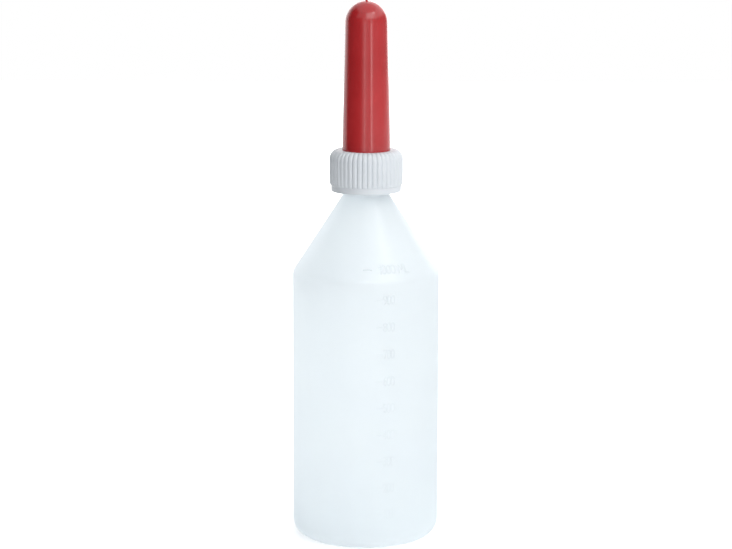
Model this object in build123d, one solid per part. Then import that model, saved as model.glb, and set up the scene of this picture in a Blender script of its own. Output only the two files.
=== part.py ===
from build123d import *

import os
from math import atan, cos, degrees, pi, sqrt

# Calf feeding bottle, one litre.  All lengths are in millimetres.
#
# A blow-moulded squeeze bottle with a conical shoulder and a threaded neck takes a ribbed screw
# collar.  The collar's top plate sits in the groove of a long hollow rubber teat.  A valve body plugs
# into the foot of the teat and is clamped over the lip of the neck on a soft gasket.  It holds the
# non-return ball, the cage that keeps the ball in, and a small umbrella valve that lets air back in.
#
# The origin is the centre of the standing face, +Z is up, and the scale is on the side facing -Y.
# Azimuths are degrees round +Z from the front, towards +X.

# ---- Bottle ----
body_radius = 45.0
wall = 1.2
base_thickness = 2.2
base_corner_radius = 8.6
standing_ring_inner_radius = 31.0
push_up_height = 9.0
push_up_flat_radius = 24.0
push_up_round = 4.0
floor_ring_inner_radius = 32.5  # the push-up as seen from inside, a wall further out
floor_flat_radius = 25.0
shoulder_height = 166.0
shoulder_round = 3.0
cone_slope = 0.651  # radius lost per unit of height
neck_base_radius = 13.6
neck_base_round = 3.0
neck_bore_radius = 10.5
lip_height = 230.4
neck_step_clearance = 0.6  # between the neck's step and the collar's sleeve

# ---- Screw thread, right-hand, on the neck and in the collar ----
thread_pitch = 4.233
thread_root_radius = 12.5
thread_depth = 1.2
thread_root_width = 2.4
thread_crest_width = 1.1
thread_clearance = 0.3
neck_thread_low = 218.6
neck_thread_turns = 2.25
collar_thread_low = 218.4
collar_thread_turns = 1.75
thread_overlap = 0.3  # depth by which a ridge is rooted in its wall

# ---- Scale on the front of the bottle ----
full_volume = 1000
scale_step = 100
mark_relief = 0.2
mark_width = 0.8
mark_start, mark_sweep = 8.5, 4.4
full_mark_start, full_mark_sweep = -2.1, 6.6

# ---- Screw collar ----
collar_low = 215.7
collar_top = 240.4
collar_band_radius = 21.4
collar_rib_radius = 22.45
collar_rib_count = 45
collar_rib_degrees = 5.2
collar_rib_azimuth = -2.9  # of the rib nearest the front
collar_rib_low = 219.5
collar_rib_slope = 1.6
collar_top_round = 4.0
collar_valley_round = 5.0
collar_plate = 3.0
collar_skirt_wall = 1.65
collar_sleeve_low = 217.0
collar_sleeve_radius = 16.2
collar_web_count = 6
collar_web_thickness = 1.5
collar_web_low = 219.0
collar_hole_radius = 11.05

# ---- Clearances inside the head, and how far added features reach into what they are added to ----
seating_gap = 0.05
running_gap = 0.05
join_overlap = 0.5

# ---- Teat ----
teat_foot_radius = 14.65
teat_neck_radius = 13.05
teat_dome_radius = 13.0
teat_top = 331.0
teat_flange_radius = 12.5
teat_wall = 3.0
teat_throat_radius = 6.45
teat_throat_top = 247.6
teat_cavity_low = 254.0
teat_nib_radius = 0.7
teat_nib_height = 3.0
teat_feed_radius = 0.3
teat_dome_flat_radius = 0.2  # left flat in the middle of the dome, outside and inside

# ---- Valve body, ball, cage, vent valve and gasket ----
gasket_outer_radius, gasket_inner_radius, gasket_thickness = 12.4, 10.6, 1.5
valve_flange_radius, valve_flange_thickness = 12.2, 2.4
spigot_radius, spigot_bore_radius, spigot_top = 6.4, 4.9, 246.0
locating_ring_radius, locating_ring_bore, locating_ring_depth = 10.2, 9.2, 4.0
seat_height, port_radius = 235.35, 3.1
ball_radius, ball_travel, ball_seating_gap = 4.25, 2.4, 0.02
cage_flange_radius, cage_flange_thickness = 6.0, 1.2
cage_hole_radius, cage_hole_circle, cage_hole_count = 1.2, 3.0, 4
vent_circle, vent_azimuth = 7.5, 0.0
vent_groove_width, vent_groove_depth = 2.9, 1.1
vent_hole_radius, vent_hole_offset = 0.35, 1.05
vent_skirt_radius, vent_skirt_thickness = 1.65, 0.42
vent_stem_radius, vent_bulb_radius, vent_bulb_height = 0.5, 0.8, 0.8

# ---- Worked out from the sizes above ----
bore_radius = body_radius - wall
cone_tilt = atan(cone_slope)
cone_inset = wall / cos(cone_tilt)  # the cone's wall, measured level
neck_base_height = shoulder_height + (body_radius - neck_base_radius) / cone_slope
bore_shoulder_height = shoulder_height + (wall - cone_inset) / cone_slope
neck_bore_low = shoulder_height + (body_radius - cone_inset - neck_bore_radius) / cone_slope
thread_crest_radius = thread_root_radius + thread_depth
neck_step_height = collar_sleeve_low - neck_step_clearance
collar_plate_low = collar_top - collar_plate
collar_thread_root = thread_crest_radius + thread_clearance
collar_skirt_bore = collar_band_radius - collar_skirt_wall
gasket_low = lip_height + seating_gap
valve_flange_low = gasket_low + gasket_thickness + seating_gap
valve_flange_top = valve_flange_low + valve_flange_thickness
teat_flange_low = valve_flange_top + seating_gap
groove_low = collar_plate_low - seating_gap
groove_top = collar_top + seating_gap
teat_dome_base = teat_top - teat_dome_radius
ball_height = seat_height + sqrt(ball_radius**2 - port_radius**2) + ball_seating_gap
cage_plug_low = ball_height + ball_radius + ball_travel + running_gap

FRONT = -90.0  # angle of the front of the bottle about +Z
FROM_BELOW = (Align.CENTER, Align.CENTER, Align.MIN)


def disc(radius, low, high):
    """Upright cylinder on the axis between two heights."""
    return Pos(0, 0, low) * Cylinder(radius, high - low, align=FROM_BELOW)


def ring(outer, inner, low, high):
    """Upright tube on the axis between two heights."""
    return disc(outer, low, high) - disc(inner, low, high)


def section(corners, rounds=()):
    """Half section in the XZ plane from (radius, height) corners; rounds holds (corner, fillet radius)."""
    face = make_face(Plane.XZ * Polyline(*corners, close=True))
    for corner, radius in rounds:
        at = Vector(corner[0], 0, corner[1])
        face = fillet(face.vertices().sort_by_distance(at)[0], radius)
    return face


def turned(corners, rounds=()):
    """Solid of revolution about the axis, from its half section."""
    return revolve(section(corners, rounds), Axis.Z)


def thread(radius, outward, low, turns, start_angle):
    """Helical ridge of trapezoid section: outward is 1 on a neck and -1 in a collar."""
    path = Helix(thread_pitch, turns * thread_pitch, radius)
    root = -outward * thread_overlap
    crest = outward * thread_depth
    half_root = thread_root_width / 2
    half_crest = thread_crest_width / 2
    ridge = Polygon(
        (root, -half_root), (0, -half_root), (crest, -half_crest),
        (crest, half_crest), (0, half_root), (root, half_root),
        align=None,
    )
    start = Plane(origin=path @ 0, x_dir=(1, 0, 0), z_dir=path % 0)
    return Pos(0, 0, low) * Rot(0, 0, start_angle) * sweep(start * ridge, path, is_frenet=True)


def milk_space():
    """The hollow of the bottle, from the inside of the base to the lip."""
    floor_corner = (bore_radius, base_thickness)
    slope_low = (floor_ring_inner_radius, base_thickness)
    slope_high = (floor_flat_radius, push_up_height + base_thickness)
    corners = [
        (0, slope_high[1]), slope_high, slope_low, floor_corner,
        (bore_radius, bore_shoulder_height), (neck_bore_radius, neck_bore_low),
        (neck_bore_radius, lip_height), (0, lip_height),
    ]
    rounds = [
        (slope_high, push_up_round), (slope_low, push_up_round / 2),
        (floor_corner, base_corner_radius - wall),
    ]
    return turned(corners, rounds)


def fill_level(millilitres, space):
    """Height of the milk's surface for a volume, from the hollow's own volume."""
    to_shoulder = (space & disc(body_radius, 0, bore_shoulder_height)).volume
    above = millilitres * 1000 - to_shoulder
    if above <= 0:
        return bore_shoulder_height + above / (pi * bore_radius**2)
    cut_radius = (bore_radius**3 - 3 * cone_slope * above / pi) ** (1 / 3)
    return bore_shoulder_height + (bore_radius - cut_radius) / cone_slope


def scale_mark(height, start, sweep_degrees):
    """Raised line on the wall or cone at one height, from an azimuth through an angle."""
    above_shoulder = max(0, height - shoulder_height)
    tilt = -degrees(cone_tilt) if above_shoulder else 0
    surface = Pos(body_radius - cone_slope * above_shoulder, 0, height) * Rot(0, tilt, 0)
    line = surface * (Plane.XZ * Rectangle(2 * mark_relief, mark_width))
    return Rot(0, 0, FRONT + start) * revolve(line, Axis.Z, sweep_degrees)


def bottle():
    """Blow-moulded bottle: body, conical shoulder, threaded neck and the raised marks of the scale."""
    space = milk_space()
    base_corner = (body_radius, 0)
    shoulder = (body_radius, shoulder_height)
    neck_base = (neck_base_radius, neck_base_height)
    push_up_edge = (push_up_flat_radius, push_up_height)
    corners = [
        (0, push_up_height), push_up_edge, (standing_ring_inner_radius, 0), base_corner, shoulder,
        neck_base, (neck_base_radius, neck_step_height), (thread_root_radius, neck_step_height),
        (thread_root_radius, lip_height), (0, lip_height),
    ]
    rounds = [
        (push_up_edge, push_up_round), (base_corner, base_corner_radius),
        (shoulder, shoulder_round), (neck_base, neck_base_round),
    ]
    solid = turned(corners, rounds) - space
    solid += thread(thread_root_radius, 1, neck_thread_low, neck_thread_turns, 0)
    for millilitres in range(scale_step, full_volume, scale_step):
        solid += scale_mark(fill_level(millilitres, space), mark_start, mark_sweep)
    solid += scale_mark(fill_level(full_volume, space), full_mark_start, full_mark_sweep)
    return solid


def collar_rib():
    """One grip rib, a wedge that runs up the skirt and over the rounded top edge."""
    top_corner = (collar_rib_radius, collar_top)
    skirt_inside = collar_skirt_bore + join_overlap
    plate_inside = collar_band_radius - collar_valley_round - join_overlap
    rib_inside_top = collar_plate_low + join_overlap
    corners = [
        (skirt_inside, collar_rib_low), (collar_band_radius, collar_rib_low),
        (collar_rib_radius, collar_rib_low + collar_rib_slope), top_corner,
        (plate_inside, collar_top), (plate_inside, rib_inside_top), (skirt_inside, rib_inside_top),
    ]
    rib = revolve(section(corners, [(top_corner, collar_top_round)]), Axis.Z, collar_rib_degrees)
    return Rot(0, 0, -collar_rib_degrees / 2) * rib


def screw_collar():
    """Ribbed collar: plate with the teat's hole, outer skirt, threaded sleeve and the webs between."""
    top_corner = (collar_band_radius, collar_top)
    corners = [(0, collar_low), (collar_band_radius, collar_low), top_corner, (0, collar_top)]
    solid = turned(corners, [(top_corner, collar_valley_round)])
    solid += [
        Rot(0, 0, FRONT + collar_rib_azimuth + number * 360 / collar_rib_count) * collar_rib()
        for number in range(collar_rib_count)
    ]
    solid -= disc(collar_skirt_bore, collar_low, collar_sleeve_low)
    solid -= ring(collar_skirt_bore, collar_sleeve_radius, collar_sleeve_low, collar_plate_low)
    solid -= disc(collar_thread_root, collar_sleeve_low, collar_plate_low)
    solid -= disc(collar_hole_radius, collar_plate_low, collar_top)
    web_middle = (collar_sleeve_radius + collar_skirt_bore) / 2
    web = Pos(web_middle, 0, collar_web_low) * Box(
        collar_skirt_bore - collar_sleeve_radius + 2 * join_overlap,
        collar_web_thickness,
        collar_plate_low - collar_web_low + join_overlap,
        align=FROM_BELOW,
    )
    for number in range(collar_web_count):
        solid += Rot(0, 0, number * 360 / collar_web_count) * web
    half_pitch = thread_pitch / 2
    turns_below = (collar_thread_low - neck_thread_low - half_pitch) / thread_pitch
    solid += thread(collar_thread_root, -1, collar_thread_low, collar_thread_turns, 360 * turns_below)
    return solid


def teat():
    """Hollow rubber teat: clamped flange, groove for the collar's plate, tapered body, dome and nib."""
    dome_corner = (teat_neck_radius, teat_top)
    body_corners = [
        (0, teat_flange_low), (teat_flange_radius, teat_flange_low),
        (teat_flange_radius, groove_low), (collar_hole_radius - running_gap, groove_low),
        (collar_hole_radius - running_gap, groove_top), (teat_foot_radius, groove_top),
        (teat_neck_radius, teat_dome_base), dome_corner, (0, teat_top),
    ]
    cavity_top = teat_top - teat_wall
    cavity_radius = teat_neck_radius - teat_wall
    cavity_corner = (cavity_radius, cavity_top)
    cavity_corners = [
        (0, teat_flange_low), (teat_throat_radius, teat_flange_low),
        (teat_throat_radius, teat_throat_top), (teat_foot_radius - teat_wall, teat_cavity_low),
        (cavity_radius, teat_dome_base), cavity_corner, (0, cavity_top),
    ]
    body = turned(body_corners, [(dome_corner, teat_dome_radius - teat_dome_flat_radius)])
    body += disc(teat_nib_radius, teat_top - teat_wall / 2, teat_top + teat_nib_height)
    body -= turned(cavity_corners, [(cavity_corner, cavity_radius - teat_dome_flat_radius)])
    return body - disc(teat_feed_radius, cavity_top - join_overlap, teat_top + teat_nib_height)


def neck_gasket():
    """Flat soft ring between the lip of the neck and the valve body."""
    return ring(gasket_outer_radius, gasket_inner_radius, gasket_low, gasket_low + gasket_thickness)


def at_vent(shape):
    """Moves a shape from the axis to the vent's place in the valve body."""
    return Rot(0, 0, FRONT + vent_azimuth) * Pos(vent_circle, 0, 0) * shape


def valve_body():
    """Flange over the lip, ring that locates in the neck, and spigot with the ball's seat and chamber."""
    solid = disc(valve_flange_radius, valve_flange_low, valve_flange_top)
    solid += disc(spigot_radius, valve_flange_top, spigot_top)
    solid += ring(
        locating_ring_radius, locating_ring_bore,
        valve_flange_low - locating_ring_depth, valve_flange_low,
    )
    solid -= disc(port_radius, valve_flange_low, seat_height)
    solid -= disc(spigot_bore_radius, seat_height, spigot_top)
    groove_reach = valve_flange_radius + join_overlap
    groove = Pos(groove_reach / 2, 0, valve_flange_top - vent_groove_depth) * Box(
        groove_reach, vent_groove_width, vent_groove_depth, align=FROM_BELOW
    )
    groove -= disc(spigot_radius, valve_flange_low, valve_flange_top)
    solid -= Rot(0, 0, FRONT + vent_azimuth) * groove
    web_low, web_high = valve_flange_low, valve_flange_top - vent_groove_depth
    solid -= at_vent(disc(vent_stem_radius + running_gap, web_low, web_high))
    for side in (-1, 1):
        hole = disc(vent_hole_radius, web_low, web_high)
        solid -= at_vent(Pos(0, side * vent_hole_offset, 0) * hole)
    return solid


def vent_valve():
    """Umbrella valve: its skirt covers the two air holes from below, its bulb holds it from above."""
    web_low, web_high = valve_flange_low, valve_flange_top - vent_groove_depth
    skirt = disc(vent_skirt_radius, web_low - seating_gap - vent_skirt_thickness, web_low - seating_gap)
    stem = disc(vent_stem_radius, web_low - seating_gap, web_high + seating_gap)
    bulb_low = web_high + seating_gap
    bulb = disc(vent_bulb_radius, bulb_low, bulb_low + vent_bulb_height)
    return at_vent(skirt + stem + bulb)


def valve_ball():
    """Non-return ball, resting on the edge of its port."""
    return Pos(0, 0, ball_height) * Sphere(ball_radius)


def ball_cage():
    """Snap-in disc over the spigot, with holes round it for the milk."""
    flange_low = spigot_top + seating_gap
    solid = disc(spigot_bore_radius - running_gap, cage_plug_low, flange_low)
    solid += disc(cage_flange_radius, flange_low, flange_low + cage_flange_thickness)
    for number in range(cage_hole_count):
        hole = disc(cage_hole_radius, cage_plug_low, flange_low + cage_flange_thickness)
        solid -= Rot(0, 0, number * 360 / cage_hole_count) * Pos(cage_hole_circle, 0, 0) * hole
    return solid


os.makedirs("parts", exist_ok=True)
for piece in (
    bottle, screw_collar, teat, neck_gasket, valve_body, vent_valve, valve_ball, ball_cage,
):
    export_step(piece(), f"parts/{piece.__name__}.step")
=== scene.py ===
import math

import bpy
import numpy as np
from mathutils import Matrix, Vector


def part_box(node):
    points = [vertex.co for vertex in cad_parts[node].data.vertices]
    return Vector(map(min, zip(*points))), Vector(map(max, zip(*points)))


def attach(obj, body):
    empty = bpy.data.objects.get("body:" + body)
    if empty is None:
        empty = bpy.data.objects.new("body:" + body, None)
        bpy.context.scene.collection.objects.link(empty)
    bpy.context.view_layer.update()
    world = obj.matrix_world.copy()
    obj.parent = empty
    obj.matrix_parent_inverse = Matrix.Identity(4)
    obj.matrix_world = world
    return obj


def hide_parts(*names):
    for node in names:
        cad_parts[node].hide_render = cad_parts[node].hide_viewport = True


# Calf feeding bottle.  The bottle, the collar and the teat are rebuilt here as smooth meshes in the
# places of their CAD nodes, and the parts inside the head keep their CAD shapes.  Shapes are worked out
# in millimetres and become metres in new_piece().  Materials, lights and the camera are in metres.

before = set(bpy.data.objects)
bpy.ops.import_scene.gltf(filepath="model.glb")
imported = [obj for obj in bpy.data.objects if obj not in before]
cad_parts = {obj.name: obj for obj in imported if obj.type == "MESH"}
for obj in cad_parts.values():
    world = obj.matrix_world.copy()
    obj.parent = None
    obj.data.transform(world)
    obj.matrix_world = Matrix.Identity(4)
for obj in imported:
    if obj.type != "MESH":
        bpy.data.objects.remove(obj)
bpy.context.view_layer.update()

MM = 0.001

# ---- Sizes of the CAD model that the boxes of its nodes don't give ----
bottle_wall = 1.2
base_thickness = 2.2
base_corner_radius = 8.6
standing_ring_inner_radius = 31.0
push_up_height = 9.0
push_up_flat_radius = 24.0
push_up_round = 4.0
shoulder_height = 166.0
cone_slope = 0.651  # radius lost for each millimetre of height
neck_base_radius = 13.6
neck_round = 3.0
neck_bore_radius = 10.5
neck_step_height = 216.4

thread_pitch = 4.233
thread_root_radius = 12.5
thread_depth = 1.2
thread_root_width = 2.4
thread_crest_width = 1.1
neck_thread_low, neck_thread_turns = 218.6, 2.25
collar_thread_low, collar_thread_turns = 218.4, 1.75

collar_band_radius = 21.4
collar_skirt_bore = 19.75
collar_sleeve_low = 217.0
collar_sleeve_radius = 16.2
collar_thread_root = 14.0
collar_hole_radius = 11.05
collar_plate = 3.0
collar_ribs = 45
collar_rib_azimuth = -2.9  # degrees from the front, of the rib nearest to it
rib_low = 219.5
collar_webs = 6
collar_web_thickness = 1.5
collar_web_low = 219.0

seating_gap = 0.05
teat_foot_radius = 14.65
teat_neck_radius = 13.05
teat_wall = 3.0
teat_throat_radius = 6.45
teat_throat_top = 247.6
teat_hollow_low = 254.0
teat_flange_radius = 12.5
teat_dome_height = 13.0
nib_radius = 0.7
nib_height = 3.0
feed_radius = 0.3

# ---- Softer edges and fine details that only the looks have ----
shoulder_round = 8.0  # 3 in the CAD
seam_proud = 0.10
seam_half_width = 0.45
pinch_off_length = 38.0
pinch_off_proud = 0.4
rib_foot_height = 1.8
rib_inner_radius = 15.6  # where the ribs have run out on top of the plate
rib_fade_width = 3.5
rib_top_depth = 2.4  # how far below the top they still count as on the plate
rib_flank_share = 0.33  # of the spacing, from the middle of a valley to the top of a rib
valley_share = 0.35  # how far the valleys stand out, as a share of the ribs; 0 in the CAD
web_overlap, web_outer_overlap, web_top_overlap = 0.3, 0.4, 0.5
teat_dome_radius = 12.9
teat_columns = 160

# ---- Distances between rings of vertices, where a mesh is finer than its outline needs ----
body_step = 6.0
scale_step = 0.24
thread_step = 0.22
rib_foot_step = 0.25
teat_step = 4.0


# ---------------------------------------------------------------- outlines and turned shells

def rounded(corners, arc_step=8.0):
    """Points along a closed outline of (radius, height, rounding) corners, with roundings as arcs.

    The points of an arc are about arc_step degrees apart."""
    points = []
    for number, (x, y, rounding) in enumerate(corners):
        here = Vector((x, y))
        if not rounding:
            points.append((x, y))
            continue
        before = Vector(corners[number - 1][:2]) - here
        after = Vector(corners[(number + 1) % len(corners)][:2]) - here
        half_angle = before.angle(after) / 2
        reach = rounding / math.tan(half_angle)
        inward = (before.normalized() + after.normalized()).normalized()
        centre = here + inward * rounding / math.sin(half_angle)
        start = here + before.normalized() * reach - centre
        end = here + after.normalized() * reach - centre
        turn = start.angle_signed(end)
        steps = max(2, math.ceil(abs(math.degrees(turn)) / arc_step))
        for step in range(steps + 1):
            angle = -turn * step / steps
            cosine, sine = math.cos(angle), math.sin(angle)
            points.append((
                centre.x + start.x * cosine - start.y * sine,
                centre.y + start.x * sine + start.y * cosine,
            ))
    return points


def with_heights(points, heights, closest=0.1):
    """The same outline with extra points wherever it crosses one of the heights."""
    result = [points[0]]
    for (radius, start), (next_radius, end) in zip(points, points[1:]):
        lowest, highest = min(start, end) + closest, max(start, end) - closest
        crossed = [height for height in heights if lowest < height < highest]
        for height in sorted(crossed, reverse=end < start):
            if abs(height - result[-1][1]) > closest:
                share = (height - start) / (end - start)
                result.append((radius + (next_radius - radius) * share, height))
        result.append((next_radius, end))
    return result


def new_piece(name, vertices, faces, covering, sharp_angle=38.0):
    """A smooth-shaded mesh object in metres from vertices in millimetres."""
    mesh = bpy.data.meshes.new(name)
    mesh.from_pydata(np.asarray(vertices) * MM, [], faces)
    mesh.shade_smooth()
    mesh.set_sharp_from_angle(angle=math.radians(sharp_angle))
    mesh.materials.append(covering)
    piece = bpy.data.objects.new(name, mesh)
    bpy.context.scene.collection.objects.link(piece)
    return piece


def strip(low, low_ring, high, high_ring, shared):
    """Faces between two rings of vertices, from the first vertex of each and the azimuths in each.

    Rings with the same azimuths are joined by quads, others by one face for each pair of shared ones."""
    columns = low_ring if low_ring == high_ring else shared
    low_at = {azimuth: number for number, azimuth in enumerate(low_ring)}
    high_at = {azimuth: number for number, azimuth in enumerate(high_ring)}
    faces = []
    for left, right in zip(columns, columns[1:] + columns[:1]):
        low_count = (low_at[right] - low_at[left]) % len(low_ring)
        high_count = (high_at[right] - high_at[left]) % len(high_ring)
        lower = [low + (low_at[left] + step) % len(low_ring) for step in range(low_count + 1)]
        upper = [high + (high_at[left] + step) % len(high_ring) for step in range(high_count + 1)]
        faces.append(lower + upper[::-1])
    return faces


def lathe(name, points, azimuths, covering, relief=None, closed=False, detail=None):
    """Shell turned about Z from an outline; relief(radius, height, angle) pushes points outward.

    The outline runs anticlockwise seen with the radius to the right.  A closed one is a ring; an
    open one starts and ends on the axis.  detail(radius, height) gives the extra azimuths of a ring.
    How far each vertex is pushed is kept as the mesh's attribute "relief"."""
    profile = np.array(points, float)
    ends = slice(None) if closed else slice(1, -1)
    following = np.roll(profile, -1, axis=0)[ends]
    preceding = np.roll(profile, 1, axis=0)[ends]
    along = following - preceding
    normals = np.stack([along[:, 1], -along[:, 0]], 1)
    normals /= np.linalg.norm(normals, axis=1)[:, None]
    shared = sorted({round(azimuth % 360, 3) for azimuth in azimuths})
    rings, rows = [], []
    for row, (ring_radius, ring_height) in enumerate(profile[ends]):
        more = [round(azimuth % 360, 3) for azimuth in detail(ring_radius, ring_height)] if detail else ()
        more = {azimuth for azimuth in more if np.abs(np.subtract(shared, azimuth)).min() > 0.1}
        ring = sorted(more.union(shared))
        rings.append(ring)
        rows += [row] * len(ring)
    radius, height = profile[ends][rows].T
    angle = np.radians(np.concatenate(rings))
    push = relief(radius, height, angle) if relief else np.zeros_like(radius)
    radius = radius + push * normals[rows, 0]
    height = height + push * normals[rows, 1]
    vertices = np.stack([radius * np.cos(angle), radius * np.sin(angle), height], -1)
    starts = np.cumsum([0] + [len(ring) for ring in rings]).tolist()
    faces = []
    for row in range(len(rings) if closed else len(rings) - 1):
        above = (row + 1) % len(rings)
        faces += strip(starts[row], rings[row], starts[above], rings[above], shared)
    if not closed:
        first, last = len(vertices), len(vertices) + 1
        poles = np.array([[0, 0, profile[0, 1]], [0, 0, profile[-1, 1]]])
        vertices = np.concatenate([vertices, poles])
        push = np.append(push, (0, 0))
        bottom, top = rings[0], rings[-1]
        for column in range(len(bottom)):
            faces.append((first, (column + 1) % len(bottom), column))
        for column in range(len(top)):
            faces.append((last, starts[-2] + column, starts[-2] + (column + 1) % len(top)))
    piece = new_piece(name, vertices, faces, covering)
    attribute = piece.data.attributes.new("relief", "FLOAT", "POINT")
    attribute.data.foreach_set("value", push.astype(np.float32))
    return piece


def even(low, high, step):
    """Values from low to high, both included, about one step apart."""
    return list(np.linspace(low, high, max(2, round((high - low) / step) + 1)))


def thread_height(height, angle, low, turns, fade=0.12):
    """How far a helical ridge stands out at each place, easing in and out at its two ends."""
    around = np.mod(angle / (2 * math.pi), 1.0)
    result = np.zeros_like(height)
    half_root, half_crest = thread_root_width / 2, thread_crest_width / 2
    for turn in range(math.ceil(turns) + 1):
        travelled = around + turn
        middle = low + thread_pitch * travelled
        flank = (half_root - np.abs(height - middle)) / (half_root - half_crest)
        ease = np.minimum(travelled, turns - travelled) / fade
        ridge = thread_depth * np.clip(flank, 0, 1) * np.clip(ease, 0, 1)
        result = np.maximum(result, ridge)
    return result


# ---------------------------------------------------------------- raised numbers of the scale

def curve(middle_x, middle_y, half_width, half_height, start, end, step=22):
    """Points along an elliptical arc, for a glyph."""
    count = max(4, round(abs(end - start) / step) + 1)
    angles = np.radians(np.linspace(start, end, count))
    return [
        (middle_x + half_width * math.cos(angle), middle_y + half_height * math.sin(angle))
        for angle in angles
    ]


def turned_over(strokes, width=0.42):
    """The same strokes upside down, which makes a nine from a six."""
    return [[(width - x, 1 - y) for x, y in stroke] for stroke in strokes]


OVAL = curve(0.21, 0.76, 0.21, 0.24, 0, 180) + curve(0.21, 0.24, 0.21, 0.24, 180, 360) + [(0.42, 0.76)]
SIX = [curve(0.21, 0.28, 0.21, 0.28, 0, 360), curve(0.42, 0.28, 0.42, 0.72, 180, 100)]
GLYPHS = {
    "0": (0.42, [OVAL]),
    "1": (0.30, [[(0.04, 0.78), (0.22, 1.0), (0.22, 0.0)]]),
    "2": (0.42, [curve(0.21, 0.75, 0.21, 0.25, 170, -25) + [(0.0, 0.0), (0.42, 0.0)]]),
    "3": (0.42, [curve(0.20, 0.77, 0.20, 0.23, 150, -90), curve(0.20, 0.27, 0.22, 0.27, 90, -150)]),
    "4": (0.42, [[(0.33, 0.0), (0.33, 1.0), (0.0, 0.3), (0.42, 0.3)]]),
    "5": (0.42, [[(0.39, 1.0), (0.05, 1.0), (0.03, 0.57)] + curve(0.20, 0.30, 0.22, 0.31, 130, -140)]),
    "6": (0.42, SIX),
    "7": (0.42, [[(0.0, 1.0), (0.42, 1.0), (0.13, 0.0)]]),
    "8": (0.42, [curve(0.21, 0.77, 0.19, 0.23, 0, 360), curve(0.21, 0.27, 0.21, 0.27, 0, 360)]),
    "9": (0.42, turned_over(SIX)),
    "M": (0.72, [[(0.0, 0.0), (0.0, 1.0), (0.36, 0.3), (0.72, 1.0), (0.72, 0.0)]]),
    "L": (0.34, [[(0.0, 1.0), (0.0, 0.0), (0.34, 0.0)]]),
    " ": (0.26, []),
}
letter_height = 5.2
letter_gap = 0.13  # in letter heights
stroke_half_width = 0.20
stroke_edge = 0.25
letter_relief = 0.25
full_line_relief = 0.45
line_relief = 0.18
faintest = 0.2  # share of the relief left at the foot of the scale
wall_squeeze = 0.85  # the numbers below the top one are this much narrower
# Degrees from the front at which the numbers start and end; "full" is the top mark, on the cone.
label_azimuth = 13.8
full_label_azimuth = 10.8
label_end_azimuth = 28.0
full_label_end_azimuth = 43.0
scale_from, scale_to = -8, 60  # everything on the scale lies between these
scale_depth = 6.0  # how much less than the wall's radius a place on the scale may have, on the cone


def text_segments(text, squeeze):
    """Start and end points of all the strokes of a text, in letter heights from its left foot."""
    starts, ends, pen = [], [], 0.0
    for letter in text:
        width, strokes = GLYPHS[letter]
        for stroke in strokes:
            moved = [((x + pen) * squeeze, y - 0.5) for x, y in stroke]
            starts += moved[:-1]
            ends += moved[1:]
        pen += width + letter_gap
    return np.array(starts), np.array(ends)


def distance_to_strokes(across, up, starts, ends):
    """Distance from each place to the nearest stroke."""
    nearest = np.full(across.shape, 1e9)
    for (x0, y0), (x1, y1) in zip(starts, ends):
        dx, dy = x1 - x0, y1 - y0
        share = ((across - x0) * dx + (up - y0) * dy) / (dx * dx + dy * dy)
        share = np.clip(share, 0, 1)
        nearest = np.minimum(nearest, np.hypot(across - x0 - share * dx, up - y0 - share * dy))
    return nearest


def raised(distance, height):
    """Soft-edged relief of a moulded line, from the distance to its middle."""
    share = np.clip((stroke_half_width + stroke_edge - distance) / stroke_edge, 0, 1)
    return height * share * share * (3 - 2 * share)


# ---------------------------------------------------------------- materials

def material(name, build):
    """A node material: build(tree, surface) adds to its Principled surface."""
    result = bpy.data.materials.new(name)
    result.use_nodes = True
    tree = result.node_tree
    build(tree, tree.nodes["Principled BSDF"])
    return result


def node(tree, kind, inputs=None, **settings):
    """A new node with its settings and input values."""
    new = tree.nodes.new(kind)
    for key, value in settings.items():
        setattr(new, key, value)
    for key, value in (inputs or {}).items():
        if isinstance(value, bpy.types.NodeSocket):
            tree.links.new(value, new.inputs[key])
        else:
            new.inputs[key].default_value = value
    return new


def noise(tree, scale, detail=3.0, roughness=0.5, stretch=(1, 1, 1)):
    """Noise fixed to the object, in features per metre, stretched along the axes."""
    place = node(tree, "ShaderNodeTexCoord").outputs["Object"]
    mapped = node(tree, "ShaderNodeMapping", {"Vector": place, "Scale": stretch})
    return node(tree, "ShaderNodeTexNoise", {
        "Vector": mapped.outputs[0], "Scale": scale, "Detail": detail, "Roughness": roughness,
    }).outputs["Fac"]


def between(tree, factor, low, high):
    """A value from low to high as the factor goes from 0 to 1."""
    return node(tree, "ShaderNodeMapRange", {"Value": factor, "To Min": low, "To Max": high}).outputs[0]


def colours(tree, factor, *stops):
    """A colour ramp of (place, colour) stops."""
    ramp = node(tree, "ShaderNodeValToRGB", {"Fac": factor})
    elements = ramp.color_ramp.elements
    for element, (place, colour) in zip(elements, (stops[0], stops[-1])):
        element.position, element.color = place, (*colour, 1)
    for place, colour in stops[1:-1]:
        elements.new(place).color = (*colour, 1)
    return ramp.outputs["Color"]


def bump(tree, height, depth_mm, strength=1.0, normal=None):
    """Bump of a depth in millimetres."""
    inputs = {"Height": height, "Distance": depth_mm * MM, "Strength": strength}
    if normal:
        inputs["Normal"] = normal
    return node(tree, "ShaderNodeBump", inputs).outputs["Normal"]


def let_light_through(tree, surface, share, tint, normal):
    """Sends a share of the surface's light on to the other side, scattered."""
    glow = node(tree, "ShaderNodeBsdfTranslucent", {"Color": tint, "Normal": normal})
    mixed = node(tree, "ShaderNodeMixShader", {0: share, 1: surface.outputs[0], 2: glow.outputs[0]})
    tree.links.new(mixed.outputs[0], tree.nodes["Material Output"].inputs["Surface"])


# Share of the light that the bottle's wall lets through, on the body and at the neck, and the heights
# between which the first becomes the second.
body_share, neck_share = 0.84, 0.92
neck_share_low, neck_share_high = 0.202, 0.212


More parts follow.
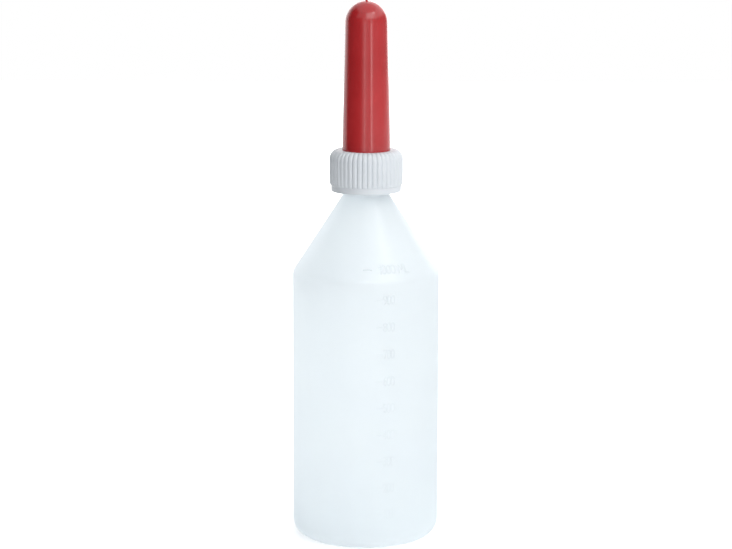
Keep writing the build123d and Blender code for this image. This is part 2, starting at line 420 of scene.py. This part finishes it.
def hdpe(tree, surface):
    """Natural translucent polyethylene, wavy from blow moulding, darker on the raised scale: thicker
    there, plus painted shade.
    """
    cloud = noise(tree, 28, 3, 0.5)
    thin = colours(tree, cloud, (0.35, (0.956, 0.978, 0.992)), (0.65, (0.966, 0.988, 0.998)))
    relief = node(tree, "ShaderNodeAttribute", attribute_name="relief").outputs["Fac"]
    # Painted shade: the raised lines and numbers get a darker colour, partly for the denser plastic there
    # and partly standing in for the shadow under them.
    thickness_and_shade = node(tree, "ShaderNodeMapRange", {"Value": relief, "From Max": full_line_relief})
    tint = node(tree, "ShaderNodeMixRGB", {
        "Fac": thickness_and_shade.outputs[0], "Color1": thin, "Color2": (0.84, 0.87, 0.89, 1),
    }).outputs["Color"]
    tree.links.new(tint, surface.inputs["Base Color"])
    surface.inputs["IOR"].default_value = 1.5
    surface.inputs["Transmission Weight"].default_value = 0.45
    grain = noise(tree, 900, 2, 0.6)
    tree.links.new(between(tree, noise(tree, 60, 4, 0.6), 0.27, 0.36), surface.inputs["Roughness"])
    waves = bump(tree, noise(tree, 22, 2, 0.5, (1, 1, 0.35)), 0.5, 0.5)
    skin = bump(tree, grain, 0.02, 0.5, waves)
    tree.links.new(skin, surface.inputs["Normal"])
    height = node(tree, "ShaderNodeSeparateXYZ", {
        "Vector": node(tree, "ShaderNodeTexCoord").outputs["Object"],
    }).outputs["Z"]
    towards_neck = node(tree, "ShaderNodeMapRange", {
        "Value": height, "From Min": neck_share_low, "From Max": neck_share_high,
    }).outputs[0]
    let_light_through(tree, surface, between(tree, towards_neck, body_share, neck_share), tint, skin)
    sheen = node(tree, "ShaderNodeBsdfGlossy", {"Roughness": 0.3, "Normal": skin})
    inward = node(tree, "ShaderNodeNewGeometry").outputs["Backfacing"]
    output = tree.nodes["Material Output"].inputs["Surface"]
    glossed = node(tree, "ShaderNodeMixShader", {
        0: between(tree, inward, 0.06, 0.0), 1: output.links[0].from_socket, 2: sheen.outputs[0],
    })
    tree.links.new(glossed.outputs[0], output)


def polypropylene(tree, surface):
    """White moulded polypropylene of the collar, with faint flow marks."""
    cloud = noise(tree, 60, 3, 0.5)
    tint = colours(tree, cloud, (0.35, (0.70, 0.74, 0.78)), (0.65, (0.73, 0.77, 0.81)))
    tree.links.new(tint, surface.inputs["Base Color"])
    tree.links.new(between(tree, noise(tree, 150, 4, 0.6), 0.40, 0.50), surface.inputs["Roughness"])
    skin = bump(tree, noise(tree, 1400, 2, 0.6), 0.02, 0.4)
    tree.links.new(skin, surface.inputs["Normal"])
    let_light_through(tree, surface, 0.1, tint, skin)


def red_rubber(tree, surface):
    """Moulded red rubber, satin, under a thin glossy coat."""
    cloud = noise(tree, 45, 4, 0.6)
    tint = colours(tree, cloud, (0.3, (0.395, 0.017, 0.020)), (0.7, (0.455, 0.024, 0.028)))
    tree.links.new(tint, surface.inputs["Base Color"])
    surface.inputs["IOR"].default_value = 1.52
    tree.links.new(between(tree, noise(tree, 220, 4, 0.6), 0.20, 0.28), surface.inputs["Roughness"])
    surface.inputs["Coat Weight"].default_value = 0.25
    surface.inputs["Coat Roughness"].default_value = 0.06
    tree.links.new(bump(tree, noise(tree, 1500, 3, 0.6), 0.02, 0.5), surface.inputs["Normal"])


def seal_rubber(tree, surface):
    """Grey silicone of the gasket and the vent valve."""
    tint = colours(tree, noise(tree, 300, 3, 0.5), (0.3, (0.55, 0.56, 0.55)), (0.7, (0.64, 0.65, 0.64)))
    tree.links.new(tint, surface.inputs["Base Color"])
    surface.inputs["Subsurface Weight"].default_value = 0.3
    surface.inputs["Subsurface Scale"].default_value = 0.001
    surface.inputs["Roughness"].default_value = 0.55
    tree.links.new(bump(tree, noise(tree, 2500, 2, 0.6), 0.01, 0.5), surface.inputs["Normal"])


def valve_plastic(tree, surface):
    """Off-white moulded plastic of the valve body and cage."""
    tint = colours(tree, noise(tree, 200, 3, 0.5), (0.3, (0.74, 0.75, 0.73)), (0.7, (0.82, 0.83, 0.81)))
    tree.links.new(tint, surface.inputs["Base Color"])
    tree.links.new(between(tree, noise(tree, 300, 3, 0.6), 0.35, 0.5), surface.inputs["Roughness"])
    tree.links.new(bump(tree, noise(tree, 2000, 2, 0.6), 0.01, 0.5), surface.inputs["Normal"])


def ball_plastic(tree, surface):
    """Polished ball."""
    tint = colours(tree, noise(tree, 250, 2, 0.5), (0.3, (0.80, 0.80, 0.77)), (0.7, (0.86, 0.86, 0.84)))
    tree.links.new(tint, surface.inputs["Base Color"])
    tree.links.new(between(tree, noise(tree, 500, 3, 0.6), 0.15, 0.28), surface.inputs["Roughness"])
    tree.links.new(bump(tree, noise(tree, 2500, 2, 0.6), 0.005, 0.5), surface.inputs["Normal"])


# ---------------------------------------------------------------- the bottle

def size_mm(name):
    """Lowest and highest corner of a CAD node, in millimetres."""
    low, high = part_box(name)
    return low / MM, high / MM


bottle_high = size_mm("bottle")[1]
body_radius = bottle_high.x
lip_height = bottle_high.z
cone_tilt = math.atan(cone_slope)
FRONT = -90.0


def surface_radius(height):
    """Radius of the body and the cone at a height."""
    return body_radius - cone_slope * max(0.0, height - shoulder_height)


def scale_marks(least_relief=0.08, least_spacing=5.0):
    """(height, first azimuth, last azimuth) of each raised line of the CAD's scale, lowest first."""
    places = np.array([vertex.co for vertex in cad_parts["bottle"].data.vertices]) / MM
    radius = np.hypot(places[:, 0], places[:, 1])
    expected = body_radius - cone_slope * np.maximum(0, places[:, 2] - shoulder_height)
    on_wall = (places[:, 2] > 2 * base_corner_radius) & (radius > 2 * neck_base_radius)
    proud = places[on_wall & (radius > expected + least_relief)]
    proud = proud[np.argsort(proud[:, 2])]
    lines = np.split(proud, np.where(np.diff(proud[:, 2]) > least_spacing)[0] + 1)
    result = []
    for line in lines:
        azimuth = np.degrees(np.arctan2(line[:, 1], line[:, 0])) - FRONT
        result.append((line[:, 2].mean(), azimuth.min(), azimuth.max()))
    return result


marks = scale_marks()


def mark_relief(number, level, first, last, across, up):
    """Relief of one line of the scale and its number, at places so far round and up from its height.

    Both are in millimetres, and the first is measured along the wall from the front."""
    full = level > shoulder_height
    wall_radius = surface_radius(level)
    fading = faintest + (1 - faintest) * (number + 1) / len(marks)
    left, right = math.radians(first) * wall_radius, math.radians(last) * wall_radius
    beyond = np.maximum(0, np.maximum(left - across, across - right))
    line = raised(np.hypot(beyond, up), full_line_relief if full else line_relief * fading)
    text = f"{(number + 1) * 100}" + (" ML" if full else "")
    start = math.radians(full_label_azimuth if full else label_azimuth) * wall_radius
    starts, ends = text_segments(text, 1.0 if full else wall_squeeze)
    distance = distance_to_strokes((across - start) / letter_height, up / letter_height, starts, ends)
    letters = raised(distance * letter_height, letter_relief * fading)
    return np.maximum(line, letters)


def scale_relief(radius, height, azimuth):
    """Relief of all the lines and numbers of the scale, shallower towards the foot of the bottle."""
    result = np.zeros_like(radius)
    for number, (level, first, last) in enumerate(marks):
        wall_radius = surface_radius(level)
        up = (height - level) / (math.cos(cone_tilt) if level > shoulder_height else 1.0)
        close = (np.abs(up) < letter_height) & (azimuth > scale_from) & (azimuth < scale_to)
        close &= radius > wall_radius - scale_depth
        across = np.radians(azimuth[close]) * wall_radius
        result[close] = mark_relief(number, level, first, last, across, up[close])
    return result


def seam_relief(radius, azimuth):
    """The mould's parting line, down the two sides."""
    from_seam = np.abs(np.abs(azimuth) - 90)
    beside = np.radians(from_seam) * np.maximum(radius, 1)
    return seam_proud * np.clip(1 - beside / seam_half_width, 0, 1)


def pinch_off_relief(radius, angle):
    """The flat-topped line across the base where the mould pinched the tube off."""
    off_middle = np.abs(radius * np.sin(angle))
    return (
        pinch_off_proud * np.clip(1.4 - off_middle / 0.5, 0, 1)
        * np.clip(pinch_off_length / 2 - radius, 0, 1)
    )


def bottle_relief(radius, height, angle):
    """Everything that stands proud of the bottle's turned surface, in millimetres."""
    azimuth = (np.degrees(angle) - FRONT + 180) % 360 - 180
    on_neck = (height > neck_step_height + 0.05) & (radius > thread_root_radius - 0.1)
    on_body = (height < neck_step_height - 1) & (height > 1.0)
    under = (height < push_up_height + 0.1) & (radius < pinch_off_length / 2 + 1)
    result = scale_relief(radius, height, azimuth)
    result = np.where(on_neck, thread_height(height, angle, neck_thread_low, neck_thread_turns), result)
    result = np.where(on_body, np.maximum(result, seam_relief(radius, azimuth)), result)
    return np.where(under, pinch_off_relief(radius, angle), result)


def bottle_outline():
    """Outside of the bottle from the middle of the base to the lip, then the inside back down."""
    neck_base_height = shoulder_height + (body_radius - neck_base_radius) / cone_slope
    inset = bottle_wall / math.cos(cone_tilt)
    bore_radius = body_radius - bottle_wall
    bore_shoulder = shoulder_height + (bottle_wall - inset) / cone_slope
    bore_neck = shoulder_height + (body_radius - inset - neck_bore_radius) / cone_slope
    push_up = [(radius, push_up_height, 0) for radius in even(0, pinch_off_length / 2 - 2, 2.0)]
    outside = rounded(push_up + [
        (pinch_off_length / 2, push_up_height, 0), (push_up_flat_radius, push_up_height, push_up_round),
        (standing_ring_inner_radius, 0, 1.0), (body_radius, 0, base_corner_radius),
        (body_radius, shoulder_height, shoulder_round), (neck_base_radius, neck_base_height, neck_round),
        (neck_base_radius, neck_step_height, 0.5), (thread_root_radius, neck_step_height, 0.2),
        (thread_root_radius, lip_height, 0.5), (neck_bore_radius + 1, lip_height, 0),
    ])
    inside = rounded([
        (neck_bore_radius + 1, lip_height, 0), (neck_bore_radius, lip_height, 0.5),
        (neck_bore_radius, bore_neck, neck_round), (bore_radius, bore_shoulder, shoulder_round),
        (bore_radius, base_thickness, base_corner_radius - bottle_wall),
        (standing_ring_inner_radius + 1.5, base_thickness, 2.0),
        (push_up_flat_radius + 1, push_up_height + base_thickness, push_up_round),
        (0, push_up_height + base_thickness, 0),
    ])[1:]
    heights = even(10, neck_step_height - 4, body_step)
    for level, _, _ in marks:
        heights += even(level - letter_height * 0.7, level + letter_height * 0.7, scale_step)
    heights += even(neck_step_height + 0.3, lip_height - 0.8, thread_step)
    inner_heights = even(12, bore_neck, 2 * body_step)
    return with_heights(outside, heights) + with_heights(inside, inner_heights)


def bottle_azimuths():
    """Angles round the bottle, closer together at the two mould seams."""
    near_seam = (-2.4, -1.2, -0.6, -0.3, 0.3, 0.6, 1.2, 2.4)
    seams = [side + offset for side in (90, 270) for offset in near_seam]
    return [FRONT + azimuth for azimuth in even(0, 356.4, 3.6) + seams]


def bottle_detail(radius, height):
    """Extra angles on the outside of the wall, at the lines and numbers of the scale."""
    if radius < surface_radius(height) - 0.6:
        return []
    for level, first, _ in marks:
        if abs(height - level) < letter_height * 0.62:
            last = full_label_end_azimuth if level > shoulder_height else label_end_azimuth
            return [FRONT + azimuth for azimuth in even(first - 1.2, last, 0.3)]
    return []


def make_bottle():
    shell = material("bottle_hdpe", hdpe)
    piece = lathe(
        "bottle_shell", bottle_outline(), bottle_azimuths(), shell, bottle_relief, detail=bottle_detail
    )
    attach(piece, "bottle")
    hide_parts("bottle")


# ---------------------------------------------------------------- the collar

collar_low, collar_high = size_mm("screw_collar")
rib_radius = collar_high.x
outer_wall_from = collar_skirt_bore + 0.6  # anything further out belongs to the ribbed outside
RIB_COLUMNS = 12  # vertices for each rib round the outside
PLAIN_COLUMNS = 3  # and round the inside


def collar_outline():
    """Outline of the band and the plate, the hole, the sleeve, the pocket and the skirt's inside."""
    top = collar_high.z
    plate_low = top - collar_plate
    corners = [
        (collar_band_radius, collar_low.z, 0.5), (collar_band_radius, top, 5.0),
        (collar_hole_radius, top, 0.3), (collar_hole_radius, plate_low, 0.3),
        (collar_thread_root, plate_low, 0.4), (collar_thread_root, collar_sleeve_low, 0.3),
        (collar_sleeve_radius, collar_sleeve_low, 0.4), (collar_sleeve_radius, plate_low, 0.6),
        (collar_skirt_bore, plate_low, 0.8), (collar_skirt_bore, collar_low.z, 0.3),
    ]
    rib_heights = even(rib_low - 0.6, rib_low + 3.2, rib_foot_step) + even(rib_low + 4.5, top - 6, 2.0)
    bore_heights = even(collar_sleeve_low + 0.4, collar_sleeve_low + 11.5, thread_step)
    return with_heights(rounded(corners, 6.0), sorted(rib_heights + bore_heights))


def collar_relief(radius, height, angle):
    """Grip ribs outside, thread inside the sleeve."""
    top = collar_high.z
    turned = np.degrees(angle) - FRONT - collar_rib_azimuth
    around = np.mod(turned / 360 * collar_ribs + 0.5, 1.0) - 0.5
    flank = np.clip((0.5 - np.abs(around)) / rib_flank_share, 0, 1)
    across = valley_share + (1 - valley_share) * np.sin(flank * math.pi / 2)
    foot = np.clip((height - rib_low) / rib_foot_height, 0, 1)
    foot = np.sqrt(np.clip(1 - (1 - foot) ** 2, 0, 1))
    fade = np.clip((radius - rib_inner_radius) / rib_fade_width, 0, 1)
    on_plate = (height > top - rib_top_depth) & (radius > rib_inner_radius)
    outside = (radius > outer_wall_from) | on_plate
    ribs = (rib_radius - collar_band_radius) * across * foot * fade
    # The collar's ridge runs half a pitch above the neck's, in the gap between its turns.
    turns_below = (collar_thread_low - neck_thread_low - thread_pitch / 2) / thread_pitch
    inner = (radius < collar_thread_root + 0.1) & (height < top - collar_plate - 0.5)
    inner &= height > collar_sleeve_low + 0.2
    ridge = thread_height(
        height, angle - 2 * math.pi * turns_below, collar_thread_low, collar_thread_turns
    )
    return np.where(outside, ribs, 0) + np.where(inner, ridge, 0)


def collar_azimuths(columns):
    """Evenly spaced angles round the collar, so many for each rib."""
    first = FRONT + collar_rib_azimuth
    return [first + azimuth for azimuth in np.arange(0, 360, 360 / (collar_ribs * columns))]


def collar_detail(radius, height):
    """Extra angles outside, where the ribs are."""
    on_ribs = radius > outer_wall_from or height > collar_high.z - rib_top_depth
    return collar_azimuths(RIB_COLUMNS) if on_ribs else []


def add_webs(piece, covering):
    """Joins the thin webs between the sleeve and the skirt to the collar, rooted a little in both."""
    inner, outer = collar_sleeve_radius - web_overlap, collar_skirt_bore + web_outer_overlap
    low, high = collar_web_low, collar_high.z - collar_plate + web_top_overlap
    half = collar_web_thickness / 2
    vertices, faces = [], []
    for web in range(collar_webs):
        turn = 2 * math.pi * web / collar_webs
        first = len(vertices)
        for height in (low, high):
            for along, across in ((inner, -half), (outer, -half), (outer, half), (inner, half)):
                x = along * math.cos(turn) - across * math.sin(turn)
                y = along * math.sin(turn) + across * math.cos(turn)
                vertices.append((x, y, height))
        sides = [(side, (side + 1) % 4, (side + 1) % 4 + 4, side + 4) for side in range(4)]
        ends = [(3, 2, 1, 0), (4, 5, 6, 7)]
        faces += [tuple(first + corner for corner in face) for face in ends + sides]
    webs = new_piece("webs", vertices, faces, covering)
    joint = piece.modifiers.new("webs", "BOOLEAN")
    joint.operation, joint.solver, joint.object = "UNION", "MANIFOLD", webs
    evaluated = piece.evaluated_get(bpy.context.evaluated_depsgraph_get())
    joined = bpy.data.meshes.new_from_object(evaluated)
    piece.modifiers.clear()
    piece.data = joined
    bpy.data.objects.remove(webs)


def make_collar():
    plastic = material("collar_pp", polypropylene)
    piece = lathe(
        "screw_collar_shell", collar_outline(), collar_azimuths(PLAIN_COLUMNS), plastic, collar_relief,
        closed=True, detail=collar_detail,
    )
    add_webs(piece, plastic)
    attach(piece, "collar")
    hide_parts("screw_collar")


# ---------------------------------------------------------------- the teat

def teat_outline():
    """Outside of the teat from its flange up to the nib, down the feed hole and the hollow inside."""
    low, high = size_mm("teat")
    top = high.z - nib_height
    groove_low = collar_high.z - collar_plate - seating_gap
    groove_top = collar_high.z + seating_gap
    groove_radius = collar_hole_radius - seating_gap
    dome_base = top - teat_dome_height
    hollow_radius = teat_neck_radius - teat_wall
    points = rounded([
        (teat_throat_radius, low.z, 0.3), (teat_flange_radius, low.z, 0.5),
        (teat_flange_radius, groove_low, 0.5), (groove_radius, groove_low, 0.4),
        (groove_radius, groove_top, 0.4), (teat_foot_radius, groove_top, 0.15),
        (teat_neck_radius, dome_base, 0), (teat_neck_radius - 0.02, top, teat_dome_radius),
        (nib_radius, top, 0.35), (nib_radius, high.z, 0.25), (feed_radius, high.z, 0.1),
        (feed_radius, top - teat_wall, 0.2), (hollow_radius, top - teat_wall, hollow_radius - 0.8),
        (hollow_radius, dome_base, 0), (teat_foot_radius - teat_wall, teat_hollow_low, 3.0),
        (teat_throat_radius, teat_throat_top, 1.0),
    ], 6.0)
    # The dome's arc would run on under the nib, so its end inside the feed hole is left out.
    points = [point for point in points if point[0] > feed_radius - 0.01]
    return with_heights(points, even(groove_top + 3, dome_base - 1, teat_step))


def make_teat():
    rubber = material("teat_red_rubber", red_rubber)
    azimuths = [360 * column / teat_columns for column in range(teat_columns)]
    piece = lathe("teat_rubber", teat_outline(), azimuths, rubber, closed=True)
    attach(piece, "head")
    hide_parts("teat")


def finish_inner_parts():
    """Procedural materials for the CAD parts inside the head, whose shapes are right as they are."""
    plans = {
        "neck_gasket": ("gasket_silicone", seal_rubber),
        "vent_valve": ("vent_silicone", seal_rubber),
        "valve_body": ("valve_body_pp", valve_plastic),
        "ball_cage": ("ball_cage_pp", valve_plastic),
        "valve_ball": ("valve_ball_plastic", ball_plastic),
    }
    for name, (title, build) in plans.items():
        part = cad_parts[name]
        part.data.materials.clear()
        part.data.materials.append(material(title, build))


# ---------------------------------------------------------------- studio

floor_glow = 0.11
floor_glow_at_foot, floor_glow_far = 0.22, 0.9
foot_distance, far_distance = 0.08, 0.9
floor_half_width = 3.0


def pale_floor(tree, surface):
    """Plain pale floor that burns out to white away from the object, as an overexposed sweep does."""
    surface.inputs["Base Color"].default_value = (0.9, 0.9, 0.9, 1)
    surface.inputs["Roughness"].default_value = 0.8
    surface.inputs["Specular IOR Level"].default_value = 0.0
    surface.inputs["Emission Color"].default_value = (1, 1, 1, 1)
    place = node(tree, "ShaderNodeNewGeometry").outputs["Position"]
    away = node(tree, "ShaderNodeVectorMath", {0: place}, operation="LENGTH").outputs["Value"]
    burn_out = node(tree, "ShaderNodeMapRange", {
        "Value": away, "From Min": foot_distance, "From Max": far_distance,
        "To Min": floor_glow_at_foot, "To Max": floor_glow_far,
    }).outputs[0]
    seen = node(tree, "ShaderNodeLightPath").outputs["Is Camera Ray"]
    glow = node(tree, "ShaderNodeMath", {0: burn_out, 1: seen, 2: floor_glow}, operation="MULTIPLY_ADD")
    tree.links.new(glow.outputs[0], surface.inputs["Emission Strength"])


def flat_piece(name, corners, covering):
    """A flat sheet of the studio, not of the object."""
    mesh = bpy.data.meshes.new(name)
    mesh.from_pydata(corners, [], [(0, 1, 2, 3)])
    mesh.materials.append(covering)
    sheet = bpy.data.objects.new(name, mesh)
    bpy.context.scene.collection.objects.link(sheet)
    return sheet


def make_floor():
    half = floor_half_width
    corners = [(-half, -half, 0), (half, -half, 0), (half, half, 0), (-half, half, 0)]
    flat_piece("floor", corners, material("floor_pale", pale_floor))


def flag_cloth(tree, surface):
    """Black felt."""
    surface.inputs["Base Color"].default_value = (0.01, 0.01, 0.01, 1)


def make_flag():
    """Black strip on the left, out of the picture, that keeps the floor's glare off the teat's left."""
    place, near, far = -0.30, -0.80, 0.10
    low, top = 0.11, 0.40
    corners = [(place, near, low), (place, far, low), (place, far, top), (place, near, top)]
    flag = flat_piece("flag", corners, material("flag_black", flag_cloth))
    flag.visible_camera = False


def area_light(name, azimuth, elevation, distance, width, height, power, aim):
    """Soft box that looks at a point; azimuth runs from the front towards +X."""
    turn, rise = math.radians(azimuth), math.radians(elevation)
    offset = Vector((math.sin(turn) * math.cos(rise), -math.cos(turn) * math.cos(rise), math.sin(rise)))
    lamp = bpy.data.lights.new(name, "AREA")
    lamp.shape = "RECTANGLE"
    lamp.size, lamp.size_y = width, height
    lamp.energy = power
    holder = bpy.data.objects.new(name, lamp)
    holder.location = aim + offset * distance
    holder.rotation_euler = (-offset).to_track_quat("-Z", "Y").to_euler()
    bpy.context.scene.collection.objects.link(holder)


# Brightness of the studio round the object, by azimuth from the front towards +X.  Low down there is a
# bright wall behind, soft panels in front and dark sides.  Higher up there are large soft boxes, most of
# them to the right.
LOW_PANELS = ((-180, 2.6), (-150, 1.7), (-117, 0.8), (-112, 0.0), (-26, 0.0), (-21, 0.9), (10, 0.9),
              (14, 0.1), (19, 0.1), (21, 1.8), (29, 1.8), (32, 0.4), (58, 0.5), (66, 0.35), (136, 0.35),
              (141, 3.4), (180, 3.4))
HIGH_PANELS = ((-180, 1.2), (-122, 0.5), (-116, 0.0), (-64, 0.0), (-57, 0.65), (-8, 0.65), (4, 3.1),
               (40, 3.1), (60, 1.5), (180, 1.5))
CEILING = 0.9
PANEL_BRIGHTEST = 4.0


def make_world():
    """Studio surround of the panels above; the camera itself sees plain white."""
    world = bpy.data.worlds.new("studio")
    world.use_nodes = True
    bpy.context.scene.world = world
    tree = world.node_tree
    background = tree.nodes["Background"]
    direction = node(tree, "ShaderNodeTexCoord").outputs["Generated"]
    parts = node(tree, "ShaderNodeSeparateXYZ", {"Vector": direction})
    towards_camera = node(tree, "ShaderNodeMath", {0: parts.outputs["Y"], 1: -1.0}, operation="MULTIPLY")
    azimuth = node(
        tree, "ShaderNodeMath", {0: parts.outputs["X"], 1: towards_camera.outputs[0]}, operation="ARCTAN2"
    ).outputs[0]
    around = node(tree, "ShaderNodeMapRange", {
        "Value": azimuth, "From Min": -math.pi, "From Max": math.pi,
    }).outputs[0]

    def ring(panels):
        stops = [((turn + 180) / 360, (level / PANEL_BRIGHTEST,) * 3) for turn, level in panels]
        return colours(tree, around, *stops)

    def rising(low, high):
        return node(tree, "ShaderNodeMapRange", {
            "Value": parts.outputs["Z"], "From Min": math.sin(math.radians(low)),
            "From Max": math.sin(math.radians(high)),
        }).outputs[0]

    def mix(factor, first, second):
        mixer = node(tree, "ShaderNodeMixRGB", {"Fac": factor, "Color1": first, "Color2": second})
        return mixer.outputs["Color"]

    def grey(level):
        return (level / PANEL_BRIGHTEST,) * 3 + (1,)

    walls = mix(rising(18, 28), ring(LOW_PANELS), ring(HIGH_PANELS))
    studio = mix(rising(50, 56), walls, grey(CEILING))
    seen = node(tree, "ShaderNodeLightPath").outputs["Is Camera Ray"]
    tree.links.new(mix(seen, studio, grey(1.0)), background.inputs["Color"])
    background.inputs["Strength"].default_value = PANEL_BRIGHTEST


def make_lights():
    """A soft box for the streak on the shoulder, and two strips for the fine lines on the teat."""
    middle = Vector((0, 0, 0.17))
    area_light("streak", 55, 53, 1.6, 0.25, 0.25, 1.0, middle)
    strips_middle = Vector((0, 0, 0.2))
    area_light("strip_left", -8, 0, 1.3, 0.04, 0.4, 0.25, strips_middle)
    area_light("strip_right", 26, 0, 1.3, 0.07, 0.4, 0.48, strips_middle)


def make_camera():
    """Long lens, looking down a little, with the object filling the height of the picture."""
    pitch = math.radians(10.5)
    roll = math.radians(0.14)
    distance = 1.32
    focus_height = 0.1634
    lens = bpy.data.cameras.new("camera")
    lens.sensor_width = 36.0
    lens.lens = 105.4
    lens.clip_end = 20.0
    camera = bpy.data.objects.new("camera", lens)
    camera.location = (0, -distance * math.cos(pitch), focus_height + distance * math.sin(pitch))
    tilt = Matrix.Rotation(math.pi / 2 - pitch, 3, "X") @ Matrix.Rotation(roll, 3, "Z")
    camera.rotation_euler = tilt.to_euler()
    bpy.context.scene.collection.objects.link(camera)
    bpy.context.scene.camera = camera


def set_light_paths():
    """Plain colours, and enough bounces for light to fill the translucent bottle."""
    scene = bpy.context.scene
    scene.view_settings.view_transform = "Standard"
    scene.cycles.use_denoising = True
    scene.cycles.max_bounces = 24
    scene.cycles.diffuse_bounces = 16
    scene.cycles.transmission_bounces = 16


make_bottle()
make_collar()
make_teat()
finish_inner_parts()

make_floor()
make_flag()
make_world()
make_lights()
make_camera()
set_light_paths()
